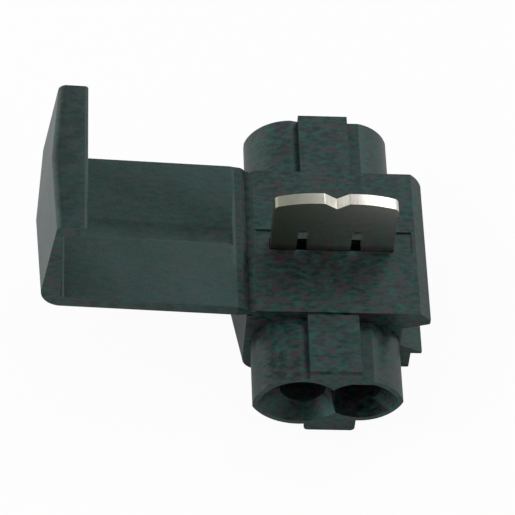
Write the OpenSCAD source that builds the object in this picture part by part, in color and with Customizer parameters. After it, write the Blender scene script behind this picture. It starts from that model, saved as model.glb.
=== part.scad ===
// Run and tap splice connector, open and ready for its wires.
// X runs across the two wire ports, from the hinge side (-X) to the latch side (+X).
// Y runs along the ports, with their flared mouths towards -Y. Z is up.
// The origin is the middle of the flat underside, halfway between the port axes.

/* [Wire ports] */
// Bore of each wire port, for the insulated wire
bore_d = 3.6; // [2.8:0.1:3.8]
// Distance between the two port axes
port_pitch = 4.24; // [4.1:0.02:4.8]
// Height of the port axes above the underside
port_z = 3.5; // [3.2:0.05:3.8]
// Length of the ports from end to end
port_l = 26.4; // [21:0.1:34]
// How far the ports reach further behind the block than in front of it
port_shift = 0.4; // [0:0.1:1]
// Depth of the flare at each open end
mouth_depth = 1.5; // [0.8:0.1:2.4]
// Wall left around a flared mouth
rim_t = 0.4; // [0.3:0.05:0.6]
// Thickness of the wall that closes the far end of the tap port
tap_end_t = 3.8; // [2:0.1:5]

/* [Port housings] */
// Height of the crown of the tap port's housing
tap_crown_z = 6.4; // [6:0.01:6.5]
// Radius of that crown
tap_crown_r = 3.8; // [3.6:0.05:4.2]
// Height of the lowest line of the tap port's housing
tap_belly_z = 0.72; // [0.4:0.02:1.1]
// Radius of that belly
tap_belly_r = 4.3; // [3.7:0.05:5]
// From the middle to the centre of the tap port's housing
tap_body_x = 2.33; // [2.2:0.01:2.5]
// From that centre to the housing's flat outer side
tap_side_w = 3.7; // [3.6:0.01:3.8]
// Height of the crown of the run port's housing, before it is flattened
run_crown_z = 6.31; // [6.2:0.01:6.5]
// Radius of that crown
run_crown_r = 3.46; // [3.4:0.02:3.8]
// Height of the narrow flat along the run port's crown
run_flat_z = 6.2; // [6:0.01:6.3]
// Height of the lowest line of the run port's housing
run_belly_z = 1.28; // [0.8:0.02:1.4]
// Radius of that belly
run_belly_r = 3.48; // [3.3:0.02:4]
// From the middle to the centre of the run port's housing
run_body_x = 2.21; // [2.1:0.01:2.4]
// From that centre to the housing's flat outer side
run_side_w = 3.32; // [3.2:0.01:3.4]

/* [Rib] */
// Width of the rib between the ports, top and bottom
rib_w = 3.96; // [3.2:0.02:5]
// How far the rib's middle lies towards the latch side
rib_x = 0.1; // [0:0.01:0.3]
// Drop of the rib's top below the top of the block
rib_drop = 0.15; // [0.1:0.05:0.5]
// Radius along the rib's lower edges
rib_r = 0.35; // [0.1:0.05:0.6]
// Radius along the top edge of the rib's front end
rib_nose_r = 0.25; // [0.1:0.05:0.6]
// Width of the valley that slopes down to the rib's foot, on the tap side
valley_w = 0.6; // [0.3:0.05:0.8]
// Depth of that valley at the rib's foot
valley_deep = 0.12; // [0.05:0.01:0.2]
// Length of the full section in front of the valley
valley_stop = 1; // [0.5:0.1:2]

/* [Block] */
// Length of the block and of the cover, along the ports
block_d = 14.3; // [12:0.1:18]
// Height of the block
block_h = 7.25; // [7.1:0.05:7.8]
// From the middle to the corners of the hinge-side flank
flank_x = 6.55; // [6.4:0.01:6.8]
// How far the flank's middle ridge stands out from its corners
flank_bow = 1.25; // [0.4:0.05:1.6]
// Radius along the foot of the flank
flank_r = 1.3; // [0.4:0.1:2]
// Drop from the top face to the shelf under the cover's strap
shelf_drop = 0.65; // [0.62:0.01:0.9]
// From the middle to the edge of the top face beside the hinge groove
top_edge_x = 5.78; // [5.7:0.01:5.9]
// Width of the slope from that edge down into the groove
groove_slope = 0.32; // [0.2:0.02:0.4]
// Depth of the groove below the top face
groove_deep = 0.15; // [0.1:0.01:0.25]
// From the middle to the latch-side wall
wall_x = 6.57; // [6.4:0.01:6.8]
// Radius of the top face's far corner on the latch side
corner_r = 0.65; // [0.3:0.05:1.4]

/* [Latch teeth] */
// From the middle to the ridge where the upper lip's ramp starts
lip_ridge_x = 6.87; // [6.7:0.01:7.1]
// From the middle to the upper lip's tip
lip_tip_x = 7.74; // [7.5:0.02:8]
// Drop of the upper lip's ramp
lip_drop = 0.8; // [0.5:0.05:1.2]
// Thickness of the upper lip at its tip
lip_tip_t = 0.4; // [0.2:0.05:0.6]
// Rise of the lip's underside for each millimetre that it runs in
lip_slope = 0.3; // [0.2:0.02:0.4]
// From the middle to the bottom of the groove between the teeth
tooth_root_x = 5.62; // [5.5:0.02:5.9]
// From the middle to the lower tooth's tip
barb_tip_x = 7.46; // [7.2:0.01:7.5]
// Height of the lower tooth's flat underside
barb_z = 2.38; // [2:0.02:2.6]
// Thickness of the lower tooth at its tip
barb_tip_t = 0.14; // [0.1:0.02:0.3]
// Rise of the lower tooth's ramp for each millimetre that it runs in
barb_slope = 0.48; // [0.3:0.02:0.55]
// Height of the ledge under which the cover's hook lies
ledge_z = 0.65; // [0.4:0.05:0.9]
// Width of that ledge
ledge_w = 0.65; // [0.3:0.05:0.9]

/* [Contact] */
// Width of the contact
contact_w = 9.65; // [9:0.05:9.8]
// Thickness of the contact
contact_t = 1.05; // [0.8:0.05:1.2]
// Height of the contact, from its peaks to its feet
contact_h = 6.35; // [6:0.05:6.5]
// How far the contact stands above the block before it is pressed
contact_rise = 5.4; // [4.8:0.05:5.5]
// How far the contact's middle lies towards the latch side
contact_x = 0.25; // [0.1:0.05:0.3]
// How far the contact's middle lies behind the block's middle
contact_y = -0.27; // [-0.4:0.01:0.4]
// Width of each wire slot
slot_w = 0.85; // [0.6:0.05:1.2]
// Distance from the peaks down to the ends of the slots
slot_drop = 3.3; // [2.8:0.05:3.6]
// Flare at the open end of each slot
slot_flare = 0.45; // [0.2:0.05:0.7]
// Width of the notch between the contact's two crowns
notch_w = 2; // [1:0.1:3]
// Depth of that notch
notch_deep = 0.62; // [0.3:0.02:1]
// Radius of the contact's crowns
crown_r = 10.5; // [8:0.5:16]
// From the contact's middle to the peak of each crown
crown_x = 1.4; // [1.1:0.1:2.2]
// Radius of the contact's upper corners
contact_corner_r = 0.5; // [0.2:0.05:0.8]
// Clearance round the contact in its pocket
contact_fit = 0.05; // [0.03:0.01:0.1]
// Depth of the contact's peaks below the top face once it is pressed home
pressed_depth = 0.05; // [0.02:0.01:0.2]
// Length of the shallow seat on each side of the contact, along the ports
seat_w = 2.14; // [1.6:0.02:3]
// Depth of that seat
seat_deep = 0.12; // [0.05:0.01:0.2]
// From the middle to the seat's end on the hinge side
seat_left_x = 5.68; // [5.4:0.01:5.7]
// From the middle to the seat's end on the latch side
seat_right_x = 6.57; // [6.4:0.01:6.7]

/* [Cover] */
// Thickness of the strap
strap_t = 1; // [0.8:0.05:1.01]
// Height of the strap's inner face above the hinge axis
strap_lift = 0.185; // [0.1:0.005:0.2]
// From the hinge axis to the strap's end, and to the block's top edge
strap_start = 0.75; // [0.7:0.01:0.85]
// Angle at which the open cover rises from level
open_tilt = 2.8; // [0:0.1:6]
// Gap between the strap and the block when the cover is closed
closed_gap = 0.05; // [0.03:0.01:0.1]
// Thickness of the wall at its root, beside the corners
wall_t = 1.6; // [1.3:0.05:2]
// Draft of the wall's outer face, in degrees
wall_draft = 5.4; // [3:0.1:6]
// Draft of the wall's inner face, in degrees
wall_draft_in = 2.8; // [0:0.1:3]
// How far the outer face's middle ridge stands out from its corners
wall_bow = 0.45; // [0.2:0.05:0.9]
// Radius outside the corner between strap and wall
cover_r = 1.6; // [0.8:0.1:2.2]
// Radius inside that corner
cover_in_r = 0.3; // [0.1:0.05:0.5]
// Thickness of the hook at the wall's end
hook_t = 1.1; // [0.9:0.05:1.6]
// Radius of the hook's nose
nose_r = 0.3; // [0.1:0.05:0.5]
// Radius on the wall's outer end
end_r = 0.65; // [0.2:0.05:0.8]
// Width of the shallow channel along the strap, over the contact
channel_w = 2.1; // [1.6:0.1:3]
// Depth of that channel
channel_deep = 0.1; // [0.05:0.01:0.2]
// From the hinge axis to the channel's start
channel_start = 1; // [0.9:0.1:2]

/* [Fits] */
// Gap between the closed hook and the ledge
latch_gap = 0.6; // [0.2:0.05:0.7]
// Clearance between the swinging hook and the teeth it passes
latch_clear = 0.03; // [0.02:0.01:0.1]
// Clearance between the wall's inner face and the upper lip
wall_clear = 0.05; // [0.03:0.01:0.15]
// Thickness of the living hinge's web where it is thinnest, in the groove
web_t = 0.35; // [0.2:0.01:0.4]
// Radius over which the web runs from the strap down into the groove
web_r = 1.15; // [1:0.05:1.4]

/* [Hidden] */
eps = 0.01;
// How little a rounded edge stands proud of the sloping face it runs into
blend = 0.002;
black = [0.16, 0.16, 0.17];
tinned = [0.83, 0.82, 0.78];
$fn = 96;

tap_x = -port_pitch / 2;
run_x = port_pitch / 2;
front_y = (port_shift - port_l) / 2;
back_y = (port_shift + port_l) / 2;
tap_stop_y = back_y - tap_end_t;

lip_tip_z = block_h - lip_drop;
lip_low_z = lip_tip_z - lip_tip_t;
lip_root_z = lip_low_z - (lip_tip_x - tooth_root_x) * lip_slope;
barb_top_z = barb_z + barb_tip_t;
barb_root_z = barb_top_z + (barb_tip_x - tooth_root_x) * barb_slope;

hinge_x = -(top_edge_x + strap_start);
hinge_z = block_h + strap_lift + closed_gap;
shelf_z = block_h - shelf_drop;
groove_x = -(top_edge_x + groove_slope);
groove_z = block_h - groove_deep;

contact_top = block_h + contact_rise;
contact_foot = contact_top - contact_h;
contact_travel = contact_rise + pressed_depth;
pocket_z = contact_foot - contact_travel - 3 * contact_fit;

// How far a point of the block lies from the hinge axis
function reach(x, z) = norm([x - hinge_x, z - hinge_z]);
teeth_reach = max(reach(barb_tip_x, barb_z), reach(wall_x, ledge_z), reach(lip_tip_x, lip_low_z));
inner_face = reach(lip_tip_x, lip_low_z) + wall_clear;
catch_h = hinge_z - ledge_z + latch_gap;
hook_nose = sqrt(pow(teeth_reach + latch_clear, 2) - pow(catch_h, 2));
wall_end = catch_h + hook_t;
outer_face = inner_face + wall_t;
strap_out = strap_lift - strap_t;
channel_end = inner_face - cover_in_r;

// A point of the cover, given along the strap and above the hinge axis, where it lies when open
function opened(u, w) = [
    hinge_x - u * cos(open_tilt) + w * sin(open_tilt),
    hinge_z + u * sin(open_tilt) + w * cos(open_tilt)
];

// Turns an outline in X and Z into a solid along Y, centred on the block
module along_ports(length) {
    rotate([90, 0, 0]) linear_extrude(length, center = true) children();
}

// The same, between two places on Y
module between(y_from, y_to) {
    translate([0, y_to, 0]) rotate([90, 0, 0]) linear_extrude(y_to - y_from) children();
}

// Section of one port's housing, or of its mouth when it is drawn in by the rim
module lens(x, crown_z, crown_r, belly_z, belly_r, inset) {
    intersection() {
        translate([x, crown_z - crown_r]) circle(crown_r - inset);
        translate([x, belly_z + belly_r]) circle(belly_r - inset);
    }
}

module tap_outline(inset = 0) {
    intersection() {
        lens(-tap_body_x, tap_crown_z, tap_crown_r, tap_belly_z, tap_belly_r, inset);
        translate([inset - tap_body_x - tap_side_w, 0]) square([2 * tap_side_w, block_h]);
    }
}

module run_outline(inset = 0) {
    intersection() {
        lens(run_body_x, run_crown_z, run_crown_r, run_belly_z, run_belly_r, inset);
        translate([run_body_x - run_side_w - inset, 0])
            square([2 * run_side_w, run_flat_z - inset]);
    }
}

// Rib between the housings, with a rounded top edge at its front end
module rib() {
    rib_top = block_h - rib_drop;
    difference() {
        between(front_y, back_y) translate([rib_x - rib_w / 2, 0]) {
            translate([0, rib_r]) square([rib_w, rib_top - rib_r]);
            translate([rib_r, 0]) square([rib_w - 2 * rib_r, rib_r]);
            for (x = [rib_r, rib_w - rib_r]) translate([x, rib_r]) circle(rib_r);
        }
        translate([rib_x - rib_w / 2 - eps, front_y + rib_nose_r, rib_top - rib_nose_r])
            rotate([90, 0, 90]) linear_extrude(rib_w + 2 * eps) difference() {
                translate([-2 * rib_nose_r, 0]) square(2 * rib_nose_r);
                circle(rib_nose_r);
            }
    }
}

// Valley along the rib's foot, in the top of the tap port's housing
module valley() {
    foot_x = rib_x - rib_w / 2;
    between(front_y + valley_stop, back_y + eps) polygon([
        [foot_x, tap_crown_z - valley_deep], [foot_x, tap_crown_z + eps],
        [foot_x - valley_w, tap_crown_z + eps], [foot_x - valley_w, tap_crown_z]
    ]);
}

// Flared mouth: from the rim's outline at the end down to the round bore
module flare(end_y, inward) {
    hull() {
        translate([0, end_y, 0]) rotate([90, 0, 0]) linear_extrude(eps, center = true, $fn = 64)
            children(0);
        translate([0, end_y + inward * mouth_depth, port_z]) rotate([90, 0, 0])
            linear_extrude(eps, center = true, $fn = 64) children(1);
    }
}

// Section of the block, with the latch teeth on its right
module block_section() {
    low_x = wall_x - ledge_w;
    polygon([
        [-2 * flank_x, 0], [low_x, 0], [low_x, ledge_z], [wall_x, ledge_z], [wall_x, barb_z],
        [barb_tip_x, barb_z], [barb_tip_x, barb_top_z], [tooth_root_x, barb_root_z],
        [tooth_root_x, lip_root_z], [lip_tip_x, lip_low_z], [lip_tip_x, lip_tip_z],
        [lip_ridge_x, block_h], [-top_edge_x, block_h], [groove_x, groove_z],
        [groove_x, shelf_z], [-2 * flank_x, shelf_z]
    ]);
}

// One slope of the flank, with its rounded foot; two of them meet in a blunt ridge
module flank_slope(side) {
    ridge_x = flank_x + flank_bow;
    translate([-ridge_x, 0, 0]) rotate([0, 0, side * atan(2 * flank_bow / block_d)])
        along_ports(2 * block_d) {
            translate([0, flank_r]) square([3 * ridge_x, 2 * block_h]);
            translate([flank_r, -eps]) square([3 * ridge_x, 2 * flank_r]);
            translate([flank_r, flank_r]) circle(flank_r);
        }
}

// What the rounded far corner leaves of the block on the latch side
module far_corner() {
    out = lip_tip_x - corner_r;
    side = block_d / 2 - corner_r;
    translate([out, side, -eps]) linear_extrude(2 * block_h) difference() {
        square(2 * corner_r);
        circle(corner_r);
    }
}

module block() {
    difference() {
        intersection() {
            along_ports(block_d) block_section();
            flank_slope(-1);
            flank_slope(1);
        }
        far_corner();
    }
}

// Shallow seat in the top face, in which the contact stands
module contact_seat() {
    translate([-seat_left_x, -seat_w / 2, block_h - seat_deep])
        cube([seat_left_x + seat_right_x, seat_w, seat_deep + eps]);
}

module contact_pocket() {
    wide = contact_w + 2 * contact_fit;
    deep = contact_t + 2 * contact_fit;
    translate([contact_x - wide / 2, contact_y - deep / 2, pocket_z])
        cube([wide, deep, block_h - pocket_z + eps]);
}

module bore(x, y_from, y_to) {
    translate([x, y_to, port_z]) rotate([90, 0, 0]) cylinder(h = y_to - y_from, d = bore_d);
}

module body() {
    color(black) difference() {
        union() {
            block();
            between(front_y, back_y) {
                tap_outline();
                run_outline();
            }
            rib();
        }
        difference() {
            valley();
            block();
        }
        bore(tap_x, front_y - eps, tap_stop_y);
        bore(run_x, front_y - eps, back_y + eps);
        flare(front_y, 1) {
            tap_outline(rim_t);
            translate([tap_x, 0]) circle(d = bore_d);
        }
        flare(front_y, 1) {
            run_outline(rim_t);
            translate([run_x, 0]) circle(d = bore_d);
        }
        flare(back_y, -1) {
            run_outline(rim_t);
            translate([run_x, 0]) circle(d = bore_d);
        }
        contact_pocket();
        contact_seat();
    }
}

// Outline of the contact, measured from its peaks down
module contact_outline() {
    half = contact_w / 2;
    difference() {
        intersection() {
            union() {
                for (side = [-1, 1])
                    translate([contact_x + side * crown_x, -crown_r]) circle(crown_r, $fn = 360);
            }
            translate([contact_x - half, -contact_h]) square([contact_w, contact_h]);
        }
        // notch between the crowns
        translate([contact_x, 0])
            polygon([[-notch_w / 2, eps], [0, -notch_deep], [notch_w / 2, eps]]);
        // upper corners, cut back to a radius that runs into the crown and the side
        corner_x = half - contact_corner_r - crown_x;
        corner_z = sqrt(pow(crown_r - contact_corner_r, 2) - pow(corner_x, 2)) - crown_r;
        turn = asin(corner_x / (crown_r - contact_corner_r));
        spare = 2 * contact_corner_r;
        for (side = [-1, 1])
            translate([contact_x + side * (crown_x + corner_x), corner_z]) difference() {
                polygon([
                    [0, 0], [side * spare * sin(turn), spare * cos(turn)],
                    [side * spare, spare], [side * spare, 0]
                ]);
                circle(contact_corner_r + blend);
            }
        // wire slots with flared ends
        for (x = [tap_x, run_x]) {
            translate([x - slot_w / 2, -contact_h - eps])
                square([slot_w, contact_h - slot_drop - slot_w / 2 + eps]);
            translate([x, -slot_drop - slot_w / 2]) circle(d = slot_w);
            translate([x, -contact_h]) polygon([
                [-slot_w / 2 - slot_flare, -eps], [slot_w / 2 + slot_flare, -eps],
                [slot_w / 2, slot_flare], [-slot_w / 2, slot_flare]
            ]);
        }
    }
}

module contact_plate() {
    color(tinned) translate([0, contact_y, contact_top]) along_ports(contact_t) contact_outline();
}

// Inner outline of the cover lying level, open towards its outside:
// u runs along the strap, w stands up from the hinge axis
module cover_inside() {
    spare = 2 * wall_t;
    catch_u = inner_face + (catch_h - strap_lift) * tan(wall_draft_in);
    polygon([
        [strap_start, strap_out - spare], [outer_face + spare, strap_out - spare],
        [outer_face + spare, wall_end], [hook_nose + nose_r, wall_end],
        [hook_nose, wall_end - nose_r], [hook_nose, catch_h], [catch_u, catch_h],
        [inner_face, strap_lift], [strap_start, strap_lift]
    ]);
    translate([hook_nose + nose_r, wall_end - nose_r]) circle(nose_r);
    // inside of the corner between strap and wall
    translate([inner_face - cover_in_r, strap_lift]) difference() {
        translate([0, -eps]) square([cover_in_r + eps, cover_in_r]);
        translate([0, cover_in_r]) circle(cover_in_r);
    }
}

// Outer outline of the cover, from its ridge: the strap's underside, the corner, the leaning
// wall and its end
module cover_outside() {
    lean_u = sin(wall_draft);
    lean_w = cos(wall_draft);
    corner_w = strap_out + cover_r;
    corner_u = ((strap_lift - corner_w) * lean_u - cover_r) / lean_w;
    end_w = wall_end - end_r;
    end_u = ((strap_lift - end_w) * lean_u - end_r) / lean_w;
    polygon([
        [-2 * outer_face, strap_out], [corner_u, strap_out], [corner_u, corner_w],
        [corner_u + (cover_r - blend) * lean_w, corner_w + (cover_r - blend) * lean_u],
        [end_u + (end_r - blend) * lean_w, end_w + (end_r - blend) * lean_u],
        [end_u, end_w], [end_u, wall_end], [-2 * outer_face, wall_end]
    ]);
    translate([corner_u, corner_w]) circle(cover_r);
    translate([end_u, end_w]) circle(end_r);
}

// One slope of the cover's outside; two of them meet in a blunt ridge along the wall
module cover_slope(side) {
    translate([outer_face + wall_bow, 0, 0])
        rotate([0, 0, side * atan(2 * wall_bow / block_d)])
            along_ports(2 * block_d) cover_outside();
}

module level_cover() {
    mirror([1, 0, 0]) difference() {
        intersection() {
            along_ports(block_d) cover_inside();
            cover_slope(-1);
            cover_slope(1);
        }
        translate([channel_start, -channel_w / 2, strap_lift - channel_deep])
            cube([channel_end - channel_start, channel_w, channel_deep + eps]);
    }
}

module cover() {
    color(black) translate([hinge_x, 0, hinge_z]) rotate([0, open_tilt, 0]) level_cover();
}

// Web between the block and the strap's end: out of the groove's floor and up over a radius
// to the strap's top face, thinnest in the groove
module hinge_web() {
    strap_end = opened(strap_start, strap_lift);
    groove_low = groove_z - web_t;
    color(black) along_ports(block_d) {
        intersection() {
            translate(opened(strap_start, strap_lift - web_r)) circle(web_r);
            polygon([
                opened(strap_start, strap_out), strap_end, [groove_x, strap_end[1]],
                [groove_x, groove_z - web_t / 2], [hinge_x, groove_low]
            ]);
        }
        translate([hinge_x, groove_low]) square([groove_x - hinge_x, web_t]);
    }
}

body();
contact_plate();
cover();
hinge_web();
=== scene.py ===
import math

import bmesh
import bpy
from bpy.props import FloatProperty, FloatVectorProperty, IntProperty, PointerProperty
from mathutils import Matrix, Vector


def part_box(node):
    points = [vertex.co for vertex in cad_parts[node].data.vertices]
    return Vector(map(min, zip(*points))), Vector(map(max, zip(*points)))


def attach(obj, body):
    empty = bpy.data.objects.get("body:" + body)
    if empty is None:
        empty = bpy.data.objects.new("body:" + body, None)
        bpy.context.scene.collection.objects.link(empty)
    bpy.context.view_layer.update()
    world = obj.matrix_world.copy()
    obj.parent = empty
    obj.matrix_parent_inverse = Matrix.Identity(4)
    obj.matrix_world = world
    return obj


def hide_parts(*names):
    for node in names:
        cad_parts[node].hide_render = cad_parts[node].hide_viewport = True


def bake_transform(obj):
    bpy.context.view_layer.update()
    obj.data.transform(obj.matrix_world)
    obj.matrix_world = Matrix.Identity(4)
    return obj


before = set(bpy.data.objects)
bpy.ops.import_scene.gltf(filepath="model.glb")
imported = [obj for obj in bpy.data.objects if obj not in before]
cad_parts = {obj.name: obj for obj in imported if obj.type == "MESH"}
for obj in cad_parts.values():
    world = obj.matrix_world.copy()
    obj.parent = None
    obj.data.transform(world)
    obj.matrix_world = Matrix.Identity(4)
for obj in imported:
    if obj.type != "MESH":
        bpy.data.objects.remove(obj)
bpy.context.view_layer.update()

bl_info = {
    "name": "Insulation Displacement Connector",
    "version": (1, 0, 0),
    "blender": (4, 5, 0),
    "location": "View3D > Sidebar > Connector",
    "description": "Dresses a wire tap connector in grained black plastic and tin-plated metal",
    "category": "Object",
}

MM = 0.001
# Distance within which a vertex counts as lying on a plane or inside a box
NEAR = 0.01 * MM
# Distances within which vertices are merged: of a node's triangles, and of moved faces
WELD = 0.0005 * MM
MOVED_WELD = 0.002 * MM
# Triangles that meet at less than this angle are parts of one flat face
FLAT = math.radians(0.4)
# Faces that meet at more than this angle keep a sharp edge
SHARP = math.radians(17)
# Room beside an edge, in radii, from which it is rounded
ROOM = 2.2
CONTACT_EDGE_STEPS = 2
# Share of up in the normal of a face that looks up
UPWARD = 0.99
# Flat strips along the bending web
WEB_STEPS = 16
# How far, and over what length, the strap's face falls away before the web
STRAP_FALL = 0.06 * MM
STRAP_RUN = 0.35 * MM

# Camera fitted to the photographed edges: its place, which way is right and up, and its lens
CAMERA_PLACE = Vector((-24.20, -166.81, 205.12)) * MM
CAMERA_RIGHT = Vector((0.997171, -0.029254, 0.069312))
CAMERA_UP = Vector((-0.021863, 0.768863, 0.639042))
CAMERA_LENS = 232.1
CAMERA_SENSOR = 36

# The stage in metres: half the floor's width, the lamps' places and sizes, and their aim
FLOOR_REACH = 3.0
LAMP_BEHIND, LAMP_BEHIND_SIZE = (0.22, 0.33, 0.34), 0.22
LAMP_LEFT, LAMP_LEFT_SIZE = (-0.42, -0.02, 0.22), 0.30
LAMP_AIM = (0, 0, 0.004)


# Settings

class ConnectorFinish(bpy.types.PropertyGroup):
    """Sizes and colours of the moulding and the contact"""
    edge_radius: FloatProperty(
        name="Edge radius", description="Radius of the moulding's rounded edges",
        default=0.12 * MM, min=0.02 * MM, max=0.25 * MM, precision=5, unit="LENGTH")
    edge_steps: IntProperty(
        name="Edge steps", description="Flat strips round each rounded edge",
        default=3, min=1, max=5)
    plastic: FloatVectorProperty(
        name="Plastic", description="Colour of the black plastic",
        default=(0.0022, 0.0055, 0.0050), size=3, min=0, max=1, subtype="COLOR")
    plastic_bloom: FloatVectorProperty(
        name="Bloom", description="Colour of the paler patches on the plastic",
        default=(0.0150, 0.0560, 0.0470), size=3, min=0, max=1, subtype="COLOR")
    plastic_blush: FloatVectorProperty(
        name="Blush", description="Colour of the warmer specks in the plastic",
        default=(0.052, 0.012, 0.028), size=3, min=0, max=1, subtype="COLOR")
    plastic_gleam: FloatVectorProperty(
        name="Gleam", description="Tint of the plastic's reflections",
        default=(0.54, 1.0, 0.92), size=3, min=0, max=1, subtype="COLOR")
    channel_slope: FloatProperty(
        name="Channel slope", description="Width of the slopes along the strap's channel",
        default=0.50 * MM, min=0.05 * MM, max=0.8 * MM, precision=5, unit="LENGTH")
    web_shine: FloatProperty(
        name="Web shine", description="How strongly the stretched web reflects",
        default=0.5, min=0, max=1, subtype="FACTOR")
    # Share of the paler patches and warmer specks that the cover's upward faces keep: less paints
    # them darker as shade
    strap_bloom_under_shade: FloatProperty(
        name="Strap bloom under painted shade", description="How much of the patches and specks the strap's face has",
        default=0.5, min=0, max=1, subtype="FACTOR")
    plastic_roughness: FloatProperty(
        name="Plastic roughness", description="Roughness of the grained surface",
        default=0.40, min=0.1, max=0.9, subtype="FACTOR")
    grain: FloatProperty(
        name="Grain", description="Width of one grain of the moulded texture",
        default=0.09 * MM, min=0.02 * MM, max=0.5 * MM, precision=5, unit="LENGTH")
    tin: FloatVectorProperty(
        name="Tin", description="Colour of the tin plating",
        default=(0.80, 0.785, 0.74), size=3, min=0, max=1, subtype="COLOR")
    tin_dull: FloatVectorProperty(
        name="Dull tin", description="Colour of the plating where it is dull",
        default=(0.60, 0.565, 0.48), size=3, min=0, max=1, subtype="COLOR")
    # Colour of painted shade, laid on the plating towards the hinge
    tin_painted_shade: FloatVectorProperty(
        name="Painted shade on tin", description="Colour of the plating towards the hinge, where it is aged",
        default=(0.36, 0.37, 0.29), size=3, min=0, max=1, subtype="COLOR")
    tin_roughness: FloatProperty(
        name="Tin roughness", description="Roughness of the plating",
        default=0.28, min=0.05, max=0.9, subtype="FACTOR")


class ConnectorStage(bpy.types.PropertyGroup):
    """Floor, light and camera"""
    floor: FloatVectorProperty(
        name="Floor", description="Colour of the floor",
        default=(0.86, 0.86, 0.86), size=3, min=0, max=1, subtype="COLOR")
    floor_glow: FloatProperty(
        name="Floor whiteness", description="How far the floor is seen as plain white",
        default=0.95, min=0, max=1, subtype="FACTOR")
    sky: FloatProperty(
        name="Sky", description="Strength of the even light from all round",
        default=0.55, min=0, max=2)
    backlight: FloatProperty(
        name="Backlight", description="How much brighter the surround is behind than in front",
        default=0.3, min=0, max=0.9, subtype="FACTOR")
    ceiling: FloatProperty(
        name="Ceiling", description="How bright the surround is above, where surfaces mirror it",
        default=0.45, min=0, max=1, subtype="FACTOR")
    mirrored_floor: FloatProperty(
        name="Mirrored floor", description="How far surfaces mirror the floor as plain white",
        default=0.15, min=0, max=1, subtype="FACTOR")
    key_power: FloatProperty(
        name="Key lamp", description="Power of the lamp behind on the right, in watts",
        default=0.4, min=0, max=10)
    side_power: FloatProperty(
        name="Side lamp", description="Power of the lamp on the left, in watts",
        default=1.1, min=0, max=10)


# Shader nodes

class Value:
    """A shader socket that takes part in sums: each sum adds a Math node."""

    def __init__(self, shader, socket):
        self.shader, self.socket = shader, socket

    def _sum(self, operation, first, second):
        return self.shader.node("ShaderNodeMath", {"operation": operation}, {0: first, 1: second})

    def __add__(self, other):
        return self._sum("ADD", self, other)

    def __radd__(self, other):
        return self._sum("ADD", other, self)

    def __sub__(self, other):
        return self._sum("SUBTRACT", self, other)

    def __rsub__(self, other):
        return self._sum("SUBTRACT", other, self)

    def __mul__(self, other):
        return self._sum("MULTIPLY", self, other)

    def __rmul__(self, other):
        return self._sum("MULTIPLY", other, self)

    def __truediv__(self, other):
        return self._sum("DIVIDE", self, other)

    def __rtruediv__(self, other):
        return self._sum("DIVIDE", other, self)


class Shader:
    """The node tree of one finish."""

    def __init__(self, tree):
        self.tree = tree
        tree.nodes.clear()

    def node(self, kind, settings=None, sockets=None, out=0):
        """Adds a node: first its settings, then the values or links of its sockets."""
        made = self.tree.nodes.new(kind)
        for name, value in (settings or {}).items():
            if name == "stops":
                ramp = made.color_ramp
                while len(ramp.elements) < len(value):
                    ramp.elements.new(0.5)
                for stop, (place, shade) in zip(ramp.elements, value):
                    stop.position = place
                    stop.color = (shade, shade, shade, 1)
            else:
                setattr(made, name, value)
        for name, value in (sockets or {}).items():
            if isinstance(value, Value):
                self.tree.links.new(value.socket, made.inputs[name])
            elif isinstance(value, (tuple, list)) and len(value) == 3 \
                    and made.inputs[name].type == "RGBA":
                made.inputs[name].default_value = (*value, 1)
            else:
                made.inputs[name].default_value = value
        return Value(self, made.outputs[out])

    def place(self, stretch=(1, 1, 1)):
        """Object coordinates: a noise is drawn out along an axis whose stretch is below 1."""
        where = self.node("ShaderNodeTexCoord", out="Object")
        return self.node("ShaderNodeMapping", sockets={"Vector": where, "Scale": stretch})

    def noise(self, size, detail=3.0, roughness=0.55, stretch=(1, 1, 1), seed=0):
        """Noise whose features are about one size across, from 0 to 1."""
        return self.node("ShaderNodeTexNoise", {"noise_dimensions": "4D"}, {
            "Vector": self.place(stretch), "W": seed, "Scale": 1 / size,
            "Detail": detail, "Roughness": roughness})

    def ramp(self, value, *stops):
        return self.node("ShaderNodeValToRGB", {"stops": stops}, {"Fac": value})

    def mix(self, factor, first, second):
        """Mixes two colours, which are the node's inputs 6 and 7 and its output 2."""
        return self.node("ShaderNodeMix", {"data_type": "RGBA"},
                         {"Factor": factor, 6: first, 7: second}, out=2)

    def end(self, surface):
        output = self.tree.nodes.new("ShaderNodeOutputMaterial")
        self.tree.links.new(surface.socket, output.inputs["Surface"])


def new_material(name):
    material = bpy.data.materials.new(name)
    material.use_nodes = True
    return material, Shader(material.node_tree)


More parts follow.
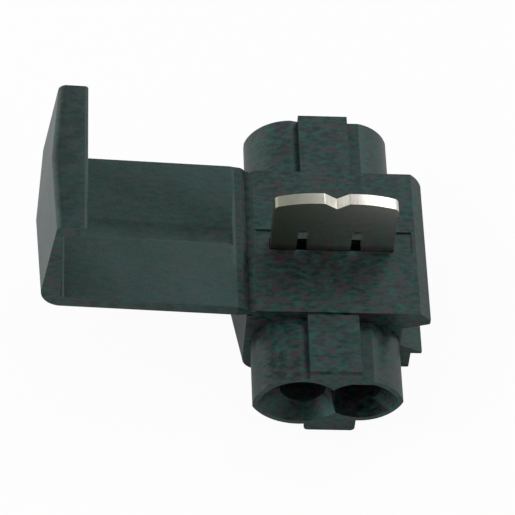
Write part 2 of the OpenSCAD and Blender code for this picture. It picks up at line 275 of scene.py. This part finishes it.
def black_plastic(finish, name, upward_share_under_shade=1.0, shine=1.0):
    """Black polypropylene: fine grain, streaks of flow across the ports, shallow sink marks.
    Faces that look up keep only the share of the patches and specks that is passed in: painted
    shade that makes them darker."""
    if name in bpy.data.materials:
        return bpy.data.materials[name]
    material, s = new_material(name)
    grain = s.noise(finish.grain, 2.0, 0.6)
    mottle = s.noise(4.0 * finish.grain, 3.0, 0.6, stretch=(0.5, 1, 1))
    blush = s.noise(4.0 * finish.grain, 2.0, 0.5, stretch=(0.5, 1, 1), seed=7)
    cloud = s.noise(3.5 * MM, 3.0, 0.5)
    sink = s.noise(4.0 * MM, 1.0, 0.4, seed=3)
    scuff = s.ramp(s.noise(0.5 * MM, 6.0, 0.75, stretch=(1, 3.5, 1)), (0.60, 0), (0.74, 1))
    # Painted shade: faces that look up keep only the share of patches and specks passed in, which
    # makes them darker
    facing = s.node("ShaderNodeSeparateXYZ", sockets={
        "Vector": s.node("ShaderNodeTexCoord", out="Normal")}, out="Z")
    share = 1 - (1 - upward_share_under_shade) * s.ramp(facing, (0.7, 0), (0.95, 1))
    bloom = share * s.ramp(0.75 * mottle + 0.25 * cloud, (0.42, 0), (0.62, 1))
    colour = s.mix(bloom, tuple(finish.plastic), tuple(finish.plastic_bloom))
    blushed = 0.8 * share * s.ramp(blush, (0.46, 0), (0.66, 1))
    colour = s.mix(blushed, colour, tuple(finish.plastic_blush))
    rough = finish.plastic_roughness + 0.30 * (mottle - 0.5) + 0.12 * (cloud - 0.5) \
        + 0.05 * scuff
    waves = s.node("ShaderNodeBump", sockets={
        "Height": sink, "Strength": 1.0, "Distance": 0.08 * MM}, out="Normal")
    relief = s.node("ShaderNodeBump", sockets={
        "Height": grain + 1.2 * mottle, "Strength": 0.5,
        "Distance": 0.03 * MM, "Normal": waves}, out="Normal")
    s.end(s.node("ShaderNodeBsdfPrincipled", sockets={
        "Base Color": colour, "Roughness": rough, "Normal": relief,
        "Specular IOR Level": 0.5 * shine, "Specular Tint": tuple(finish.plastic_gleam),
        "IOR": 1.49}))
    return material


def tin_plating(finish):
    """Tin-plated strip: rolling lines along its faces, shear lines across its punched edge, and
    painted shade that darkens it towards the hinge.
    """
    name = "Tin-plated strip"
    if name in bpy.data.materials:
        return bpy.data.materials[name]
    material, s = new_material(name)
    rolled = s.noise(0.25 * MM, 4.0, 0.7, stretch=(0.08, 1, 1))
    sheared = s.noise(0.16 * MM, 4.0, 0.7, stretch=(1, 0.08, 1))
    patches = s.noise(0.9 * MM, 4.0, 0.6)
    facing = s.node("ShaderNodeSeparateXYZ", sockets={
        "Vector": s.node("ShaderNodeTexCoord", out="Normal")}, out="Y")
    edge = s.ramp(facing * facing, (0.2, 1), (0.6, 0))
    lines = edge * sheared + (1 - edge) * rolled
    across = s.node("ShaderNodeSeparateXYZ", sockets={"Vector": s.place()}, out="X")
    # Painted shade: a gradient across X, broken up by patches, darkens the plating towards the
    # hinge
    shaded = s.ramp(0.5 + across / (12 * MM) + 0.25 * (patches - 0.5), (0.2, 1), (0.62, 0))
    dull = s.ramp(0.5 * lines + 0.5 * patches, (0.38, 1), (0.60, 0))
    colour = s.mix(dull, tuple(finish.tin), tuple(finish.tin_dull))
    colour = s.mix(shaded, colour, tuple(finish.tin_painted_shade))
    rough = finish.tin_roughness + 0.10 * (lines - 0.5) + 0.08 * dull
    relief = s.node("ShaderNodeBump", sockets={
        "Height": lines + 0.5 * patches, "Strength": 0.10, "Distance": 0.02 * MM}, out="Normal")
    s.end(s.node("ShaderNodeBsdfPrincipled", sockets={
        "Base Color": colour, "Metallic": 1.0, "Roughness": rough, "Normal": relief}))
    return material


# Pieces

def merged_copy(node):
    """A bmesh of the node's mesh, with its loose triangles joined into whole faces."""
    shape = bmesh.new()
    shape.from_mesh(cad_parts[node].data)
    bmesh.ops.remove_doubles(shape, verts=shape.verts, dist=WELD)
    bmesh.ops.dissolve_limit(shape, angle_limit=FLAT, use_dissolve_boundaries=False,
                             verts=shape.verts, edges=shape.edges, delimit=set())
    return shape


def cut(shape, x):
    """Cuts the faces of a bmesh along the plane across X at this place."""
    bmesh.ops.bisect_plane(shape, geom=shape.verts[:] + shape.edges[:] + shape.faces[:],
                           plane_co=(x, 0, 0), plane_no=(1, 0, 0))


def inside(vert, low, high):
    return all(a - NEAR < b < c + NEAR for a, b, c in zip(low, vert.co, high))


def has_room(edge, radius):
    """Whether an edge can be rounded: it and its neighbours are outer edges, two at each
    end, and they and its faces reach far enough from its line."""
    start = edge.verts[0].co
    along = (edge.verts[1].co - start).normalized()
    beside = {other for vert in edge.verts for other in vert.link_edges} - {edge}
    if len(beside) != 4 or not all(other.is_convex for other in (edge, *beside)):
        return False
    reaches = [max((vert.co - start).cross(along).length for vert in part.verts)
               for part in (*edge.link_faces, *beside)]
    return min(reaches) > ROOM * radius


def mark_edges(shape, radius, seam=None):
    """Weights the sharp edges that round_edges rounds, but none within the box of a seam."""
    weight = shape.edges.layers.float.new("bevel_weight_edge")
    for edge in shape.edges:
        joined = seam is not None and all(inside(vert, *seam) for vert in edge.verts)
        if edge.calc_face_angle(0) > SHARP and not joined and has_room(edge, radius):
            edge[weight] = 1


def finished(shape, name, material):
    """Makes the bmesh an object that is shaded smooth except across its sharp edges."""
    for face in shape.faces:
        face.smooth = True
    for edge in shape.edges:
        edge.smooth = edge.calc_face_angle(0) <= SHARP
    mesh = bpy.data.meshes.new(name)
    shape.to_mesh(mesh)
    shape.free()
    mesh.materials.append(material)
    piece = bpy.data.objects.new(name, mesh)
    bpy.context.scene.collection.objects.link(piece)
    return piece


def round_edges(piece, radius, steps):
    """Rounds the edges that mark_edges weighted."""
    rounding = piece.modifiers.new("Rounded edges", "BEVEL")
    rounding.width = radius
    rounding.segments = steps
    rounding.limit_method = "WEIGHT"
    rounding.use_clamp_overlap = False
    rounding.harden_normals = True
    rounding.miter_outer = "MITER_ARC"


def soften_channel(shape, run):
    """Turns the walls of the strap's shallow channel into gentle slopes of this run. Of the
    faces that look up, the strap's is the largest and the channel's floor the second."""
    upward = [face for face in shape.faces if face.normal.z > UPWARD]
    floor = sorted(upward, key=lambda face: face.calc_area())[-2]
    depth = min(edge.calc_length() for edge in shape.edges
                if sum(vert in floor.verts for vert in edge.verts) == 1)
    ring = bmesh.ops.inset_region(shape, faces=[floor], thickness=run, depth=0)["faces"]
    lip = {vert for face in ring for vert in face.verts} - set(floor.verts)
    bmesh.ops.translate(shape, verts=list(lip), vec=depth * floor.normal)
    bmesh.ops.remove_doubles(shape, verts=shape.verts, dist=MOVED_WELD)


def drop_strap_end(shape):
    """Lets the strap's face fall away a little over its last stretch before the web."""
    end = max(vert.co.x for vert in shape.verts)
    cut(shape, end - STRAP_RUN)
    last = [vert for vert in shape.verts if vert.co.x > end - NEAR]
    bmesh.ops.translate(shape, verts=last, vec=(0, 0, -STRAP_FALL))


def follow_strap(shape):
    """Lowers the web's top to the strap's end, and on at the same slope."""
    highest = max((vert.co for vert in shape.verts), key=lambda place: place.z)
    end, top = highest.x, highest.z - STRAP_FALL
    for vert in shape.verts:
        vert.co.z = min(vert.co.z, top - (vert.co.x - end) * STRAP_FALL / STRAP_RUN)


class CONNECTOR_OT_body(bpy.types.Operator):
    """Gives the block and its wire ports rounded edges and the grained plastic"""
    bl_idname = "connector.body"
    bl_label = "Body"

    def execute(self, context):
        finish = context.scene.connector_finish
        shape = merged_copy("body")
        mark_edges(shape, finish.edge_radius, seam=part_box("hinge_web"))
        piece = finished(shape, "moulded_body", black_plastic(finish, "Block plastic"))
        round_edges(piece, finish.edge_radius, finish.edge_steps)
        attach(piece, "block")
        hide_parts("body")
        return {"FINISHED"}


class CONNECTOR_OT_cover(bpy.types.Operator):
    """Gives the cover rounded edges and the grained plastic, with painted shade on its upward
    faces
    """
    bl_idname = "connector.cover"
    bl_label = "Cover"

    def execute(self, context):
        finish = context.scene.connector_finish
        shape = merged_copy("cover")
        soften_channel(shape, finish.channel_slope)
        drop_strap_end(shape)
        mark_edges(shape, finish.edge_radius, seam=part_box("hinge_web"))
        piece = finished(shape, "moulded_cover",
                         black_plastic(finish, "Cover plastic with painted shade", finish.strap_bloom_under_shade))
        round_edges(piece, finish.edge_radius, finish.edge_steps)
        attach(piece, "cover")
        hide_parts("cover")
        return {"FINISHED"}


class CONNECTOR_OT_web(bpy.types.Operator):
    """Models the living hinge's web, which bends between block and cover"""
    bl_idname = "connector.web"
    bl_label = "Hinge web"

    def execute(self, context):
        finish = context.scene.connector_finish
        low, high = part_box("hinge_web")
        shape = merged_copy("hinge_web")
        for step in range(1, WEB_STEPS):
            cut(shape, low.x + (high.x - low.x) * step / WEB_STEPS)
        follow_strap(shape)
        piece = finished(shape, "bending_web",
                         black_plastic(finish, "Web plastic", shine=finish.web_shine))
        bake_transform(piece)
        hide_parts("hinge_web")
        return {"FINISHED"}


class CONNECTOR_OT_contact(bpy.types.Operator):
    """Gives the contact its punched edges and tin plating"""
    bl_idname = "connector.contact"
    bl_label = "Contact"

    def execute(self, context):
        finish = context.scene.connector_finish
        radius = 0.5 * finish.edge_radius
        shape = merged_copy("contact_plate")
        mark_edges(shape, radius)
        piece = finished(shape, "plated_contact", tin_plating(finish))
        round_edges(piece, radius, CONTACT_EDGE_STEPS)
        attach(piece, "contact")
        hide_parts("contact_plate")
        return {"FINISHED"}


# Stage

def ray(s, kind):
    """1 for rays of this kind, and 0 for others."""
    return s.node("ShaderNodeLightPath", out=f"Is {kind} Ray")


def mirrored(s):
    """1 for mirror-like reflections and for rays through glass."""
    return s.node("ShaderNodeMath", {"operation": "MAXIMUM"}, {
        0: ray(s, "Glossy"), 1: ray(s, "Transmission")})


def soft_lamp(name, place, size, power):
    data = bpy.data.lights.new(name, "AREA")
    data.shape = "SQUARE"
    data.size = size
    data.energy = power
    lamp = bpy.data.objects.new(name, data)
    lamp.location = place
    lamp.rotation_mode = "QUATERNION"
    lamp.rotation_quaternion = (Vector(LAMP_AIM) - Vector(place)).to_track_quat("-Z", "Y")
    bpy.context.scene.collection.objects.link(lamp)
    return lamp


class CONNECTOR_OT_stage(bpy.types.Operator):
    """Sets the floor, the soft light and the camera at the photograph's view"""
    bl_idname = "connector.stage"
    bl_label = "Stage"

    def execute(self, context):
        stage = context.scene.connector_stage
        shape = bmesh.new()
        bmesh.ops.create_grid(shape, x_segments=1, y_segments=1, size=FLOOR_REACH)
        mesh = bpy.data.meshes.new("floor")
        shape.to_mesh(mesh)
        shape.free()
        floor = bpy.data.objects.new("floor", mesh)
        context.scene.collection.objects.link(floor)
        material, s = new_material("White floor")
        paper = s.node("ShaderNodeBsdfDiffuse", sockets={"Color": tuple(stage.floor)})
        white = s.node("ShaderNodeEmission", sockets={"Color": (1, 1, 1), "Strength": 1.0})
        share = stage.floor_glow * ray(s, "Camera") + stage.mirrored_floor * mirrored(s)
        s.end(s.node("ShaderNodeMixShader", sockets={0: share, 1: paper, 2: white}))
        mesh.materials.append(material)

        world = bpy.data.worlds.new("White surround")
        world.use_nodes = True
        s = Shader(world.node_tree)
        way = s.node("ShaderNodeTexCoord", out="Generated")
        behind, height = (s.node("ShaderNodeSeparateXYZ", sockets={"Vector": way}, out=axis)
                          for axis in "YZ")
        # Mirrored, the surround is white up to a fifth of the height and then fades
        above = s.ramp(height, (0.20, 1), (0.60, stage.ceiling))
        glossy = mirrored(s)
        direct = ray(s, "Camera")
        unseen = (glossy * above + (1 - glossy) * stage.sky) * (1 + stage.backlight * behind)
        surround = s.node("ShaderNodeBackground", sockets={
            "Color": (1, 1, 1), "Strength": direct + (1 - direct) * unseen})
        output = world.node_tree.nodes.new("ShaderNodeOutputWorld")
        world.node_tree.links.new(surround.socket, output.inputs["Surface"])
        context.scene.world = world

        soft_lamp("lamp_behind", LAMP_BEHIND, LAMP_BEHIND_SIZE, stage.key_power)
        soft_lamp("lamp_left", LAMP_LEFT, LAMP_LEFT_SIZE, stage.side_power)

        data = bpy.data.cameras.new("camera")
        data.sensor_width = CAMERA_SENSOR
        data.lens = CAMERA_LENS
        data.clip_start, data.clip_end = 0.01, 10
        camera = bpy.data.objects.new("camera", data)
        back = CAMERA_RIGHT.cross(CAMERA_UP)
        turn = Matrix((CAMERA_RIGHT, CAMERA_UP, back)).transposed()
        camera.matrix_world = Matrix.Translation(CAMERA_PLACE) @ turn.to_4x4()
        context.scene.collection.objects.link(camera)
        context.scene.camera = camera
        context.scene.view_settings.view_transform = "Standard"
        return {"FINISHED"}


# Panel

class CONNECTOR_PT_panel(bpy.types.Panel):
    bl_label = "Connector"
    bl_space_type = "VIEW_3D"
    bl_region_type = "UI"
    bl_category = "Connector"

    def draw(self, context):
        for group in (context.scene.connector_finish, context.scene.connector_stage):
            box = self.layout.box()
            for name in group.__annotations__:
                box.prop(group, name)
        for operator in OPERATORS:
            self.layout.operator(operator.bl_idname)


OPERATORS = (CONNECTOR_OT_body, CONNECTOR_OT_cover, CONNECTOR_OT_web, CONNECTOR_OT_contact,
             CONNECTOR_OT_stage)
CLASSES = (ConnectorFinish, ConnectorStage, *OPERATORS, CONNECTOR_PT_panel)


def register():
    for cls in CLASSES:
        bpy.utils.register_class(cls)
    bpy.types.Scene.connector_finish = PointerProperty(type=ConnectorFinish)
    bpy.types.Scene.connector_stage = PointerProperty(type=ConnectorStage)


def unregister():
    del bpy.types.Scene.connector_stage
    del bpy.types.Scene.connector_finish
    for cls in reversed(CLASSES):
        bpy.utils.unregister_class(cls)


def main():
    register()
    bpy.ops.connector.body()
    bpy.ops.connector.cover()
    bpy.ops.connector.web()
    bpy.ops.connector.contact()
    bpy.ops.connector.stage()


if __name__ == "__main__":
    main()
